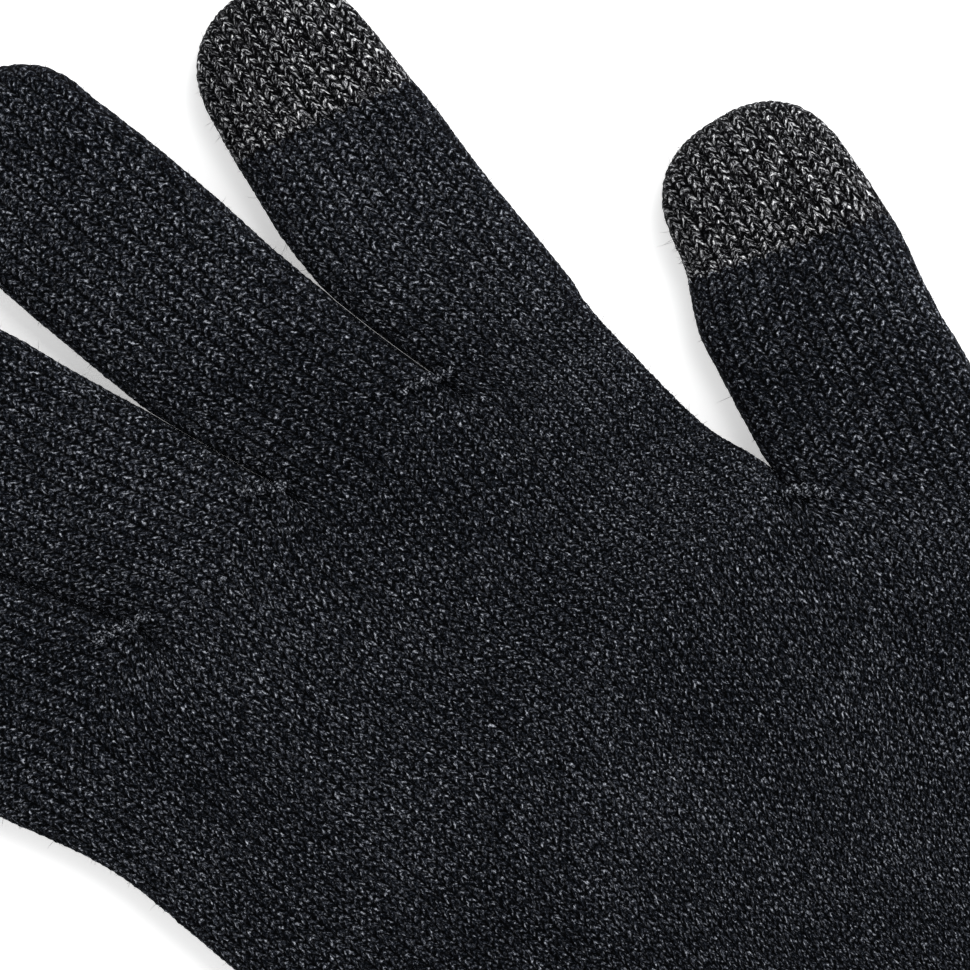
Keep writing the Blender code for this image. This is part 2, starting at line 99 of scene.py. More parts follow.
# Rails of each finger past its root row: left x, y and right x, y. Courses lie straight between them.
RAILS = {
    "index": (
        (33.5, 55.5, 57.6, 44.5), (33.2, 62.0, 58.8, 50.3), (33.2, 68.5, 59.9, 56.3),
        (34.2, 75.0, 61.1, 62.6), (35.7, 81.5, 62.6, 69.2), (37.8, 87.5, 64.2, 75.5),
        (39.7, 93.2, 65.3, 81.5), (41.6, 98.2, 66.9, 88.8),
    ),
    "middle": (
        (4.8, 64.0, 33.0, 56.4), (3.3, 71.7, 32.6, 64.0), (2.6, 79.5, 32.3, 72.0),
        (2.4, 88.5, 32.3, 81.0), (2.4, 98.0, 32.7, 90.5), (2.5, 107.0, 32.9, 100.5),
        (2.9, 113.5, 32.8, 109.0), (3.4, 117.0, 32.5, 115.5),
    ),
    "ring": (
        (-26.1, 67.0, 4.4, 63.7), (-28.4, 73.4, 3.5, 70.0), (-30.4, 80.3, 1.9, 77.1),
        (-31.4, 88.0, 0.3, 85.0), (-32.6, 95.5, -1.2, 93.0), (-33.6, 102.0, -2.5, 101.0),
        (-34.2, 106.5, -4.1, 108.0), (-34.3, 109.5, -5.3, 112.5),
    ),
    "little": (
        (-60.4, 63.0, -26.4, 66.8), (-62.0, 69.5, -28.6, 73.3), (-63.8, 76.0, -31.0, 80.2),
        (-65.6, 82.5, -34.6, 86.8), (-67.2, 88.5, -37.6, 93.5), (-67.9, 92.0, -41.0, 100.0),
    ),
    "thumb": (
        (57.3, 6.2, 84.0, -14.9), (59.6, 11.8, 86.8, -8.6), (61.9, 17.2, 88.9, -2.4),
        (64.2, 22.6, 91.5, 3.6), (66.9, 26.3, 94.0, 8.8), (69.6, 29.5, 95.8, 13.6),
        (70.7, 31.2, 97.6, 19.5),
    ),
}
# Round end of each finger: middle of the line between its shoulders, bearing, half width, reach and the power
# of its outline, a superellipse
TIPS = {
    "index": (54.75, 95.65, 17.0, 13.1, 13.4, 2.15),
    "middle": (17.9, 119.0, 0.8, 14.6, 13.0, 2.15),
    "ring": (-20.0, 113.4, -9.5, 14.3, 13.4, 2.15),
    "little": (-55.4, 98.0, -20.3, 13.5, 13.0, 2.15),
    "thumb": (85.2, 28.0, 18.0, 14.1, 14.3, 2.45),
}
PALM_HEIGHTS = ((0, 10.0), (6, 10.8), (25, 11.6), (45, 11.8), (70, 11.2), (89, 9.9))  # course, height
FINGER_HEIGHT = 9.7
THUMB_EXTRA = 0.4  # how much higher the thumb's cloth is than a finger's
CONDUCTIVE_FROM = {"index": 7, "thumb": 6}  # rail, counted from 1, at which the conductive yarn starts

HEEL_TOP = -61.0  # y at which the palm's heel piece ends
LOWER_PALM_TOP = -30.0  # y at which the lower palm's band ends

CUFF_MIDDLE = 5.5  # height of the cuff's middle over the table
CUFF_HALF_HEIGHT = 4.5
CUFF_WALL = 1.5
CUFF_OUTLINE = ((-129.0, 45.0), (-90.0, 41.6), (-70.0, 44.1), (-67.0, 43.8))  # y, half width
RIBS = 38
ELASTICS = (-80.0, -92.0, -104.0)  # y of each elastic yarn

# Tacks: name, then x, y and z of both ends
TACKS = (
    ("tack_middle_index", (28.2, 52.1, 10.9), (36.1, 48.4, 10.9)),
    ("tack_ring_middle", (1.3, 61.0, 10.8), (7.0, 56.4, 11.0)),
    ("tack_little_ring", (-29.5, 63.2, 10.8), (-20.7, 59.8, 11.0)),
    ("tack_thumb_web", (53.7, -1.2, 11.2), (58.3, -7.3, 11.3)),
)


# Numbers


def smooth(share):
    """Smooth step from 0 to 1: three squares less two cubes."""
    share = np.clip(share, 0.0, 1.0)
    return share * share * (3 - 2 * share)


def scatter(*places):
    """A number from 0 to 1 for each whole place, with no order to it: the fraction of a large sine."""
    total = sum(np.asarray(place) * weight for place, weight in zip(places, (12.9898, 78.233, 37.719)))
    return np.mod(np.sin(total) * 43758.5453, 1.0)


def half_section(count, wide):
    """count + 1 places along the upper half of a flattened tube's section, equal lengths of cloth apart.

    The section is a superellipse whose half width is wide times its half height. The places are shares of
    the half width, from -1 to 1, and of the half height, from 0 to 1."""
    turn = np.linspace(math.pi, 0.0, 6001)
    across = np.sign(np.cos(turn)) * np.abs(np.cos(turn)) ** (2 / SECTION_POWER)
    up = np.abs(np.sin(turn)) ** (2 / SECTION_POWER)
    length = np.concatenate([[0.0], np.cumsum(np.hypot(np.diff(across) * wide, np.diff(up)))])
    even = np.linspace(0.0, length[-1], count + 1)
    across, up = np.interp(even, length, across), np.interp(even, length, up)
    up[[0, -1]] = 0.0
    return across, up


def through(knots, stations, places):
    """Smooth rows through stations: between two of them, a cubic that leaves and meets each with the slope
    measured over its neighbours."""
    slopes = np.gradient(stations, knots, axis=0)
    k = np.clip(np.searchsorted(knots, places, side="right") - 1, 0, len(knots) - 2)
    step = (knots[k + 1] - knots[k])[:, None, None]
    t = ((places - knots[k]) / (knots[k + 1] - knots[k]))[:, None, None]
    start = (1 + 2 * t) * (1 - t) ** 2 * stations[k] + t * (1 - t) ** 2 * step * slopes[k]
    return start + t * t * (3 - 2 * t) * stations[k + 1] + t * t * (t - 1) * step * slopes[k + 1]


# The cloth's plan: where each wale and course lies, seen from above


def palm_row(control, wale):
    """x and y of a palm row at each wale, straight between its control points."""
    at, x, y = np.array(control).T
    return np.stack([np.interp(wale, at, x), np.interp(wale, at, y)], axis=1)


def rail_row(rail, share):
    """x and y of a finger row at each share of the way from its left rail to its right one."""
    left, right = np.array(rail[:2]), np.array(rail[2:])
    return left + (right - left) * share[:, None]


def root_course(name):
    """Course at which a finger or the thumb leaves the palm."""
    return WEB_COURSE if name == "thumb" else CROTCH_COURSE


def knots_of(name):
    """Course number of every station of a branch, from the wrist to where its tip rounds off. Past the
    root row, courses are as far apart as the rails' middles say."""
    root = root_course(name)
    palm = [row for row in PALM_ROWS if row[0] <= root]
    middle = [FIRST[name] + WALES[name] / 2]
    places = [palm_row(palm[-1][1], middle)[0]] + [rail_row(rail, np.array([0.5]))[0] for rail in RAILS[name]]
    steps = np.hypot(*np.diff(places, axis=0).T) / COURSE
    return np.concatenate([[row[0] for row in palm], root + np.cumsum(steps)])


def silver_course(name):
    """Course at which a finger's conductive yarn starts."""
    return knots_of(name)[CONDUCTIVE_FROM[name] - len(RAILS[name]) - 1]


def plan(name, wale, courses):
    """x and y of a branch's cloth, for rows at courses and columns at wale."""
    root = root_course(name)
    share = (wale - FIRST[name]) / WALES[name]
    stations = [palm_row(control, wale) for at, control in PALM_ROWS if at <= root]
    stations += [rail_row(rail, share) for rail in RAILS[name]]
    return through(knots_of(name), np.array(stations), courses)


def branch(name, courses):
    """x, y and share of the half height of a branch's front, from wrist to tip.

    Below the web the cloth is one wide section; it splits into the palm's and the thumb's, and the palm's
    splits into the fingers'. Each split mixes the two places of a wale over the last courses before it."""
    first, last = FIRST[name] * PER_WALE, (FIRST[name] + WALES[name]) * PER_WALE
    whole, whole_up = half_section(ALL * PER_WALE, WHOLE_FLATNESS)
    whole, whole_up = (whole[first : last + 1] + 1) * ALL / 2, whole_up[first : last + 1]
    own, own_up = half_section(WALES[name] * PER_WALE, FINGER_FLATNESS)
    own = FIRST[name] + (own + 1) * WALES[name] / 2
    palm, palm_up = half_section(WEB * PER_WALE, PALM_FLATNESS)
    palm, palm_up = (palm[first : last + 1] + 1) * WEB / 2, palm_up[first : last + 1]
    if name == "thumb":
        palm, palm_up = own, own_up
    split_web = smooth((courses - WEB_COURSE) / PINCH + 1)[:, None]
    split_root = smooth((courses - CROTCH_COURSE) / PINCH + 1)[:, None]
    places = plan(name, whole, courses) * (1 - split_web[..., None])
    places += plan(name, palm, courses) * (split_web * (1 - split_root))[..., None]
    places += plan(name, own, courses) * (split_web * split_root)[..., None]
    up = whole_up * (1 - split_web) + palm_up * split_web * (1 - split_root) + own_up * split_web * split_root
    return places, up


# The cloth's surface: closed rings round each tube


def wave(x, y):
    """Gentle unevenness of cloth laid down by hand, in mm: a sum of long sine waves."""
    low = 0.28 * np.sin(x / 15.0 + y / 39.0 + 1.3) * np.cos(y / 18.0 - x / 47.0 + 0.4)
    return low + 0.17 * np.sin((x + 1.4 * y) / 9.5 + 0.8) + 0.10 * np.sin((1.7 * x - y) / 7.0 + 2.0)


def finger_height(name):
    """Height of a finger's cloth, or of the thumb's."""
    return FINGER_HEIGHT + (THUMB_EXTRA if name == "thumb" else 0.0)


def heights(name, courses):
    """Height of a branch's cloth at each course: the palm's, easing to the finger's past the root row."""
    at, height = np.array(PALM_HEIGHTS).T
    eased = smooth((courses - root_course(name)) / 10)
    return np.interp(courses, at, height) * (1 - eased) + finger_height(name) * eased


def front_and_back(front, back):
    """A ring's values from its front's, left to right, and its back's in the same order."""
    return np.concatenate([front, back[:, -2:0:-1]], axis=1)


def ring_rows(places, up, height):
    """Points of closed rings: over the front from left to right, and back underneath.

    The front rises from mid height by its share and a little wave; the back falls by the same share, and
    lies flat where it meets the table."""
    middle = FLOOR + (height - FLOOR) * SIDE_HEIGHT
    x, y = places[..., 0], places[..., 1]
    top = middle + up * (height - middle) + wave(x, y) * up**2
    under = middle - np.minimum(up * BACK_FLATNESS, 1.0) * (middle - FLOOR)
    return front_and_back(np.stack([x, y, top], axis=-1), np.stack([x, y, under], axis=-1))


def tip_rows(name, last, up):
    """Rings of a finger's round end, from its last rail row to the seam along its edge.

    Each wale runs straight on to the tip's outline, a superellipse. The height over a place falls with how
    near it is to that outline, by the same superellipse as the tube's section."""
    cx, cy, bearing, half, reach, power = TIPS[name]
    bearing = math.radians(bearing)
    along = np.array([math.sin(bearing), math.cos(bearing)])
    across = np.array([math.cos(bearing), -math.sin(bearing)])
    from_middle = last - np.array([cx, cy])
    start, side = from_middle @ along, from_middle @ across
    share = half_section(WALES[name] * PER_WALE, FINGER_FLATNESS)[0]
    end = reach * (1 - np.abs(share) ** power) ** (1 / power)
    count = int((reach - start.mean() + 4.0) / ROW)
    gone = half_section(2 * count, reach / 4.8)[0][count + 1 :, None]
    at = start + (end - start) * gone
    near = np.clip(at / reach, 0.0, 1.0) ** power + np.abs(share) ** power
    edge = np.clip(near, 0.0, 1.0) ** (1 / power)
    tip_up = (1 - edge**SECTION_POWER) ** (1 / SECTION_POWER)
    tip_up = np.where(at < 0, up, tip_up)
    tip_up[-1] = 0.0
    off = side + (share * half - side) * gone
    places = np.array([cx, cy]) + at[..., None] * along + off[..., None] * across
    height = finger_height(name) * (1 - 0.1 * np.clip(at / reach, 0, 1) ** 2)
    return places, tip_up, height


def outward(points):
    """Unit normals of closed rings: along the ring, crossed with along the tube."""
    around = np.roll(points, -1, axis=1) - np.roll(points, 1, axis=1)
    normal = np.cross(around, np.gradient(points, axis=0))
    return normal / np.maximum(np.linalg.norm(normal, axis=2, keepdims=True), 1e-9)


def leg_shape(wale, course):
    """How far a place is from its wale's middle, 0 to 1, and its place across the stacked legs in courses.

    A leg falls away from the middle of its wale, so the place across is the course plus its fall."""
    side = np.abs(2 * np.mod(wale, 1.0) - 1)
    return side, course + LEG_RISE * side


def plain_knit(wale, course):
    """Relief of plain knit in mm: each leg is a round ridge, sunk deep between wales and a little along a
    wale's middle. The rows waver by two crossed sines, and no two legs are raised quite the same."""
    stray = np.sin(wale * 2.3 + course * 1.7) * np.sin(course * 2.9 - wale * 1.1 + 1.0)
    bent = course + 0.2 * stray + 0.12 * np.sin(wale * 0.9 + course * 0.21)
    side, across = leg_shape(wale, bent)
    ridge = 0.5 + 0.5 * np.cos(2 * np.pi * across)
    swell = 0.65 + 0.7 * scatter(np.floor(2 * wale + 0.01), np.floor(across + 0.5))
    return 0.46 * np.sqrt(np.sin(np.pi * (0.12 + 0.88 * side))) * (0.3 + 0.7 * ridge) * swell


def tube(points, course, first_wale, swell=0.0):
    """A knitted tube as a grid: its points with the relief added, its wale and course at each corner. The
    relief is lower at the tube's sides, which swell a little, so that fingers lie against each other."""
    rows, columns = points.shape[:2]
    wale = first_wale + np.arange(columns) / PER_WALE
    course = np.broadcast_to(course.reshape(rows, -1), (rows, columns))
    normal = outward(points)
    level = np.abs(normal[..., 2:])
    relief = plain_knit(wale, course)[..., None] * (0.35 + 0.65 * level)
    raised = points + normal * (relief + swell * (1 - level) ** 2)
    return {"points": raised, "course": course, "first": first_wale}


def between(left, right, y):
    """x of the line midway between two neighbouring fingers at each y, from their crotch to their tips."""
    crotch = palm_row(PALM_ROWS[-1][1], [FIRST[right]])[0]
    right_rail = np.array([crotch] + [rail[2:] for rail in RAILS[left]])
    left_rail = np.array([crotch] + [rail[:2] for rail in RAILS[right]])
    before = np.interp(y, right_rail[:, 1], right_rail[:, 0])
    return (before + np.interp(y, left_rail[:, 1], left_rail[:, 0])) / 2


def keep_apart(name, points, past_root):
    """Holds a finger's sides on its own side of the lines midway to its neighbours, so that fingers lie flat
    against each other and never enter each other. The space between them opens over the first course."""
    if name not in FOUR_FINGERS:
        return
    at = FOUR_FINGERS.index(name)
    half_gap = HALF_GAP * smooth(past_root)
    x, y = points[..., 0], points[..., 1]
    if name != FOUR_FINGERS[-1]:
        points[..., 0] = np.minimum(x, between(name, FOUR_FINGERS[at + 1], y) - half_gap)
    if name != FOUR_FINGERS[0]:
        points[..., 0] = np.maximum(x, between(FOUR_FINGERS[at - 1], name, y) + half_gap)


def finger_tube(name):
    """A branch from its root row to the seam round its tip."""
    knots = knots_of(name)
    root = root_course(name)
    count = int(round((knots[-1] - root) * PER_COURSE))
    courses = np.linspace(root, knots[-1], count + 1)
    places, up = branch(name, courses)
    height = heights(name, courses)[:, None]
    tip_places, tip_up, tip_height = tip_rows(name, places[-1], up[-1])
    points = ring_rows(places, up, height)
    tip = ring_rows(tip_places, tip_up, tip_height)
    both = np.concatenate([points[-1:], tip])
    grown = np.cumsum(np.linalg.norm(np.diff(both, axis=0), axis=2), axis=0) / COURSE
    course = np.concatenate([np.broadcast_to(courses[:, None], points.shape[:2]), courses[-1] + grown])
    swell = SIDE_SWELL * smooth((course[:, :1] - root) / 3.0)[..., None]
    made = tube(np.concatenate([points, tip]), course, FIRST[name], swell)
    made["points"][-1] = tip[-1]
    keep_apart(name, made["points"], course - root)
    made["closed_tip"] = True
    return made


def palm_tubes(fingers):
    """The palm below the web and above it, their last rows laid on the tubes that they split into."""
    low = np.arange(0, WEB_COURSE * PER_COURSE + 1) / PER_COURSE
    high = np.arange(WEB_COURSE * PER_COURSE, CROTCH_COURSE * PER_COURSE + 1) / PER_COURSE
    made = []
    for courses, names in ((low, (*FOUR_FINGERS, "thumb")), (high, FOUR_FINGERS)):
        parts = [branch(name, courses) for name in names]
        places = np.concatenate([parts[0][0]] + [part[0][:, 1:] for part in parts[1:]], axis=1)
        up = np.concatenate([parts[0][1]] + [part[1][:, 1:] for part in parts[1:]], axis=1)
        height = heights("palm", courses)[:, None]
        made.append(tube(ring_rows(places, up, height), courses, 0))
    lower, upper = made
    lay_on(upper, fingers, FOUR_FINGERS)
    lay_on(lower, {"palm": upper, "thumb": fingers["thumb"]}, ("palm", "thumb"))
    return lower, upper


def lay_on(palm, tubes, names):
    """Moves the last row of a palm grid to the first rows of the tubes that it splits into."""
    columns = palm["points"].shape[1]
    start = 0
    for name in names:
        ring = tubes[name]["points"][0]
        half = len(ring) // 2
        palm["points"][-1, start : start + half + 1] = ring[: half + 1]
        under = np.arange(1, half + 1)
        palm["points"][-1, (-start - under) % columns] = ring[-under]
        start += half


# Meshes


def corners(grid):
    """Vertex numbers, wale and course at the four corners of each face of a grid of closed rings. A closed
    tip's last row is one line of points, shared by the front and the back."""
    rows, columns = grid["points"].shape[:2]
    index = np.arange(rows * columns).reshape(rows, columns)
    if grid.get("closed_tip"):
        half = columns // 2
        index[-1, half + 1 :] = index[-1, half - 1 : 0 : -1]
    nxt = np.roll(index, -1, axis=1)
    course = grid["course"]
    course_next = np.roll(course, -1, axis=1)
    wale = np.broadcast_to(grid["first"] + np.arange(columns) / PER_WALE, (rows, columns))
    wide = 1 / PER_WALE
    quads = np.stack([index[:-1], nxt[:-1], nxt[1:], index[1:]], axis=-1)
    wales = np.stack([wale[:-1], wale[:-1] + wide, wale[:-1] + wide, wale[:-1]], axis=-1)
    courses = np.stack([course[:-1], course_next[:-1], course_next[1:], course[1:]], axis=-1)
    return quads.reshape(-1, 4), wales.reshape(-1, 4), courses.reshape(-1, 4)


def mesh_object(name, points, faces, material, maps=None):
    """An object at the origin with these points in mm, quads and UV maps of one pair per face corner."""
    used, places = np.unique(faces, return_inverse=True)
    faces = places.reshape(faces.shape)
    mesh = bpy.data.meshes.new(name)
    mesh.vertices.add(len(used))
    mesh.vertices.foreach_set("co", (points[used] * MM).astype(np.float32).ravel())
    mesh.loops.add(faces.size)
    mesh.loops.foreach_set("vertex_index", faces.ravel().astype(np.int32))
    mesh.polygons.add(len(faces))
    mesh.polygons.foreach_set("loop_start", np.arange(0, faces.size, faces.shape[1], dtype=np.int32))
    for map_name, pairs in (maps or {}).items():
        layer = mesh.uv_layers.new(name=map_name)
        layer.uv.foreach_set("vector", pairs.astype(np.float32).ravel())
    mesh.materials.append(material)
    mesh.update(calc_edges=True)
    mesh.validate()
    mesh.shade_smooth()
    obj = bpy.data.objects.new(name.replace(" ", "_"), mesh)
    bpy.context.scene.collection.objects.link(obj)
    return obj


def loose_fibres(points, faces, count):
    """Short loose fibres standing out of some of the faces: each is a three-sided prism along four points of
    a curve that leaves the cloth and leans over. Returns their points and quads."""
    pick = (scatter(np.arange(count), 3.0) * len(faces)).astype(int)
    corner = points[faces[pick]]
    root = corner.mean(axis=1)
    normal = np.cross(corner[:, 1] - corner[:, 0], corner[:, 3] - corner[:, 0])
    normal /= np.maximum(np.linalg.norm(normal, axis=1, keepdims=True), 1e-9)
    number = np.arange(count)
    lean = np.stack([scatter(number, k) - 0.5 for k in (11.0, 17.0, 23.0)], axis=1)
    curl = np.stack([scatter(number, k) - 0.5 for k in (29.0, 31.0, 37.0)], axis=1)
    long = 0.5 + 1.2 * scatter(number, 41.0)[:, None, None] ** 3
    step = np.linspace(0.0, 1.0, 4)[None, :, None]
    way = 0.55 * normal[:, None] + 1.3 * lean[:, None]
    line = root[:, None] - 0.1 * normal[:, None] + long * (way * step + curl[:, None] * step**2)
    line[..., 2] = np.maximum(line[..., 2], 0.15)
    across = np.cross(way[:, 0], (0.31, 0.52, 0.79))
    across /= np.linalg.norm(across, axis=1, keepdims=True)
    other = np.cross(way[:, 0], across)
    other /= np.linalg.norm(other, axis=1, keepdims=True)
    radius = np.array([0.03, 0.03, 0.024, 0.005])[None, :, None, None]
    turn = np.arange(3) * 2 * math.pi / 3
    ring = across[:, None, None] * np.cos(turn)[:, None] + other[:, None, None] * np.sin(turn)[:, None]
    made = (line[:, :, None] + radius * ring).reshape(-1, 3)
    index = np.arange(count * 12).reshape(count, 4, 3)
    nxt = np.roll(index, -1, axis=2)
    quads = np.stack([index[:, :-1], nxt[:, :-1], nxt[:, 1:], index[:, 1:]], axis=-1)
    return made, quads.reshape(-1, 4)


def cells(count, low, high):
    """A small square of the fitted map for each of count faces, in rows from low to high."""
    wide = int(math.ceil(math.sqrt(count / (high - low))))
    tall = int(math.ceil(count / wide))
    x, y = np.arange(count) % wide, np.arange(count) // wide
    corner = np.array([[0.1, 0.1], [0.9, 0.1], [0.9, 0.9], [0.1, 0.9]])
    u = (x[:, None] + corner[:, 0]) / wide
    return np.stack([u, low + (y[:, None] + corner[:, 1]) / tall * (high - low)], axis=-1)


def knit_piece(name, grid, chosen, material, fibres=0.03):
    """The chosen faces of a grid as an object, with loose fibres on a share of them. Its knit map counts
    wales and courses, and its fitted map holds the same places under the unit square's top edge."""
    quads, wales, courses = corners(grid)
    quads = quads[chosen]
    knit = np.stack([wales[chosen], courses[chosen]], axis=-1)
    low, high = knit.min(axis=(0, 1)), knit.max(axis=(0, 1))
    fitted = (knit - low) / (high - low) * (0.996, 0.93) + (0.002, 0.002)
    points = grid["points"].reshape(-1, 3)
    made, loose = loose_fibres(points, quads, int(len(quads) * fibres))
    every = max(1, len(knit) // len(loose))
    knit = np.concatenate([knit, knit[::every][: len(loose)]])
    fitted = np.concatenate([fitted, cells(len(loose), 0.94, 0.998)])
    quads = np.concatenate([quads, loose + len(points)])
    obj = mesh_object(name, np.concatenate([points, made]), quads, material, {"knit": knit, "OFBake": fitted})
    return obj


def strand(name, line, radius, material, sides=7):
    """A round yarn along a line of points in mm, thinning to nothing over its end points."""
    ahead = np.gradient(line, axis=0)
    ahead /= np.linalg.norm(ahead, axis=1, keepdims=True)
    flat = np.cross(ahead, (0.12, 0.09, 0.98))
    flat /= np.maximum(np.linalg.norm(flat, axis=1, keepdims=True), 1e-9)
    upright = np.cross(flat, ahead)
    turn = np.arange(sides) * 2 * math.pi / sides
    ring = upright[:, None] * np.cos(turn)[:, None] + flat[:, None] * np.sin(turn)[:, None]
    thin = np.full(len(line), float(radius))
    thin[[0, -1]] = 0.02
    points = line[:, None] + thin[:, None, None] * ring
    length = np.concatenate([[0.0], np.cumsum(np.linalg.norm(np.diff(line, axis=0), axis=1))])
    grid = {"points": points, "course": (length / COURSE)[:, None] * np.ones(sides), "first": 0.0}
    quads, wales, courses = corners(grid)
    knit = np.stack([wales, courses], axis=-1)
    fitted = knit / knit.max(axis=(0, 1)) * 0.996 + 0.002
    obj = mesh_object(name, points.reshape(-1, 3), quads, material, {"knit": knit, "OFBake": fitted})
    return obj


# Materials


def paint(code):
    """A colour from its sRGB hex code, as linear red, green, blue and 1."""
    values = np.array([int(code[i : i + 2], 16) for i in (1, 3, 5)]) / 255
    linear = np.where(values <= 0.04045, values / 12.92, ((values + 0.055) / 1.055) ** 2.4)
    return (*linear.tolist(), 1.0)


def node(tree, kind, settings=None, **links):
    """Adds a node. Settings are its properties; links give each input a value or another node's output."""
    made = tree.nodes.new("ShaderNode" + kind)
    for key, value in (settings or {}).items():
        setattr(made, key, value)
    for key, value in links.items():
        socket = made.inputs[int(key[1:])] if key[1:].isdigit() else made.inputs[key.replace("_", " ")]
        if isinstance(value, bpy.types.NodeSocket):
            tree.links.new(value, socket)
        else:
            socket.default_value = value
    return made


def calc(tree, operation, a, b=0.0, c=0.0):
    """The output of a maths node."""
    return node(tree, "Math", {"operation": operation}, i0=a, i1=b, i2=c).outputs[0]


def ramp(tree, value, stops):
    """The output of a colour ramp through stops of place and hex colour."""
    made = node(tree, "ValToRGB", i0=value)
    elements = made.color_ramp.elements
    while len(elements) < len(stops):
        elements.new(0.5)
    for element, (place, code) in zip(elements, stops):
        element.position = place
        element.color = paint(code)
    return made.outputs[0]


def new_material(name, **sockets):
    """A material with its principled shader's sockets set."""
    material = bpy.data.materials.new(name)
    material.use_nodes = True
    shader = material.node_tree.nodes["Principled BSDF"]
    for key, value in sockets.items():
        shader.inputs[key.replace("_", " ")].default_value = value
    return material, material.node_tree, shader


def stitch_coordinates(tree):
    """Sockets for where a place is on its stitch leg, from the knit map: across the leg and along it in mm,
    a number for its column of legs, its phase across the legs in courses and its share of the way from the
    wale's middle to its edge."""
    mapped = node(tree, "UVMap", {"uv_map": "knit"}).outputs[0]
    split = node(tree, "SeparateXYZ", i0=mapped).outputs
    wale, course = split[0], split[1]
    side = calc(tree, "ABSOLUTE", calc(tree, "MULTIPLY_ADD", calc(tree, "FRACT", wale), 2.0, -1.0))
    stray = node(tree, "TexNoise", None, Vector=mapped, Scale=1.9, Detail=2.0).outputs[0]
    waver = calc(tree, "MULTIPLY_ADD", stray, 0.9, calc(tree, "ADD", course, -0.45))
    phase = calc(tree, "MULTIPLY_ADD", side, LEG_RISE, waver)
    half = calc(tree, "FLOOR", calc(tree, "MULTIPLY", wale, 2.0))
    return calc(tree, "MULTIPLY", phase, 0.87), calc(tree, "MULTIPLY", side, 1.55), half, phase, side


def stretched_noise(tree, across, along, half, wide, long, shift, detail=2.0):
    """Noise whose grains lie along the stitch legs, wide and long in mm."""
    vector = node(
        tree, "CombineXYZ", i0=calc(tree, "DIVIDE", across, wide),
        i1=calc(tree, "MULTIPLY_ADD", half, 3.7, calc(tree, "DIVIDE", along, long)), i2=shift,
    ).outputs[0]
    return node(tree, "TexNoise", None, Vector=vector, Scale=1.0, Detail=detail, Roughness=0.6).outputs[0]


def yarn_material(name, stops, roughness, grain, painted_shade_level, metal=None, sheen=0.015):
    """Two-ply yarn knitted plain. Flecks of the marl lie along the legs; the bump gives each leg its two
    plies and the loose fibres over them. The base colour is darkened in the hollows between the legs and
    towards each wale's edges, down to a given share of itself: painted shade."""
    material, tree, shader = new_material(
        name, Roughness=roughness, Specular_IOR_Level=0.03, Sheen_Weight=sheen, Sheen_Roughness=0.6
    )
    shader.inputs["Sheen Tint"].default_value = paint("#b9bfca")
    across, along, half, phase, side = stitch_coordinates(tree)
    fleck = stretched_noise(tree, across, along, half, grain[0], grain[1], 1.5)
    stitches = node(tree, "UVMap", {"uv_map": "knit"}).outputs[0]
    in_mm = node(tree, "VectorMath", {"operation": "MULTIPLY"}, i0=stitches, i1=(2.0, COURSE, 1.0)).outputs[0]
    stray = node(tree, "TexNoise", None, Vector=in_mm, Scale=grain[2], Detail=3.0, Roughness=0.65).outputs[0]
    fleck = calc(tree, "MULTIPLY_ADD", stray, grain[3], calc(tree, "MULTIPLY", fleck, 1.0 - grain[3]))
    patch = node(tree, "TexNoise", None, Vector=in_mm, Scale=0.03, Detail=1.0).outputs[0]
    fleck = calc(tree, "ADD", fleck, calc(tree, "MULTIPLY_ADD", patch, 0.05, -0.025))
    ridge = calc(tree, "COSINE", calc(tree, "MULTIPLY", phase, 2 * math.pi))
    smoothed = {"interpolation_type": "SMOOTHSTEP"}
    # Painted shade: the base colour is multiplied darker towards each wale's edges and in the troughs between
    # the stacked legs, where the knit's relief would shade itself.
    shade_at_wale_edges = node(tree, "MapRange", smoothed, i0=side, i1=0.68, i2=0.98, i3=1.0, i4=painted_shade_level).outputs[0]
    low = node(tree, "MapRange", None, i0=ridge, i1=-0.9, i2=0.6, i3=painted_shade_level, i4=1.0).outputs[0]
    painted_valley_shade = calc(tree, "MULTIPLY", low, shade_at_wale_edges)
    darkened = {"data_type": "RGBA", "blend_type": "MULTIPLY"}
    shade = node(tree, "Mix", darkened, i0=1.0, i6=ramp(tree, fleck, stops), i7=painted_valley_shade)
    tree.links.new(shade.outputs[2], shader.inputs["Base Color"])
    if metal:
        dim, bright, most = metal
        shine = node(tree, "MapRange", None, i0=fleck, i1=dim, i2=bright, i3=0.0, i4=most).outputs[0]
        tree.links.new(shine, shader.inputs["Metallic"])
        dull = node(tree, "MapRange", None, i0=fleck, i1=dim, i2=bright, i3=roughness, i4=0.36).outputs[0]
        tree.links.new(dull, shader.inputs["Roughness"])
    fibre = stretched_noise(tree, across, along, half, 0.09, 0.8, 7.0, 3.0)
    twist = calc(tree, "MULTIPLY_ADD", along, 1.2, calc(tree, "MULTIPLY", phase, 4 * math.pi))
    plies = calc(tree, "COSINE", twist)
    height = calc(tree, "MULTIPLY_ADD", plies, -0.35, fibre)
    bump = node(tree, "Bump", None, Strength=0.9, Distance=0.00012, Height=height)
    tree.links.new(bump.outputs[0], shader.inputs["Normal"])
    return material


# Marled charcoal yarn: nearly black, with short grey flecks along the stitch legs and strays across them
body_yarn = yarn_material(
    "marled charcoal yarn",
    ((0.0, "#000102"), (0.445, "#030508"), (0.505, "#191c22"), (0.56, "#464951"), (0.65, "#b8bcc4")),
    0.9, (0.2, 0.7, 2.2, 0.55), 0.12,
)
# The cuff's yarn is the same marl, a shade quieter
rib_yarn = yarn_material(
    "marled rib yarn",
    ((0.0, "#010203"), (0.44, "#05070b"), (0.51, "#1a1d23"), (0.57, "#3d4047"), (0.67, "#8b8f97")),
    0.9, (0.2, 0.7, 2.3, 0.4), 0.12,
)
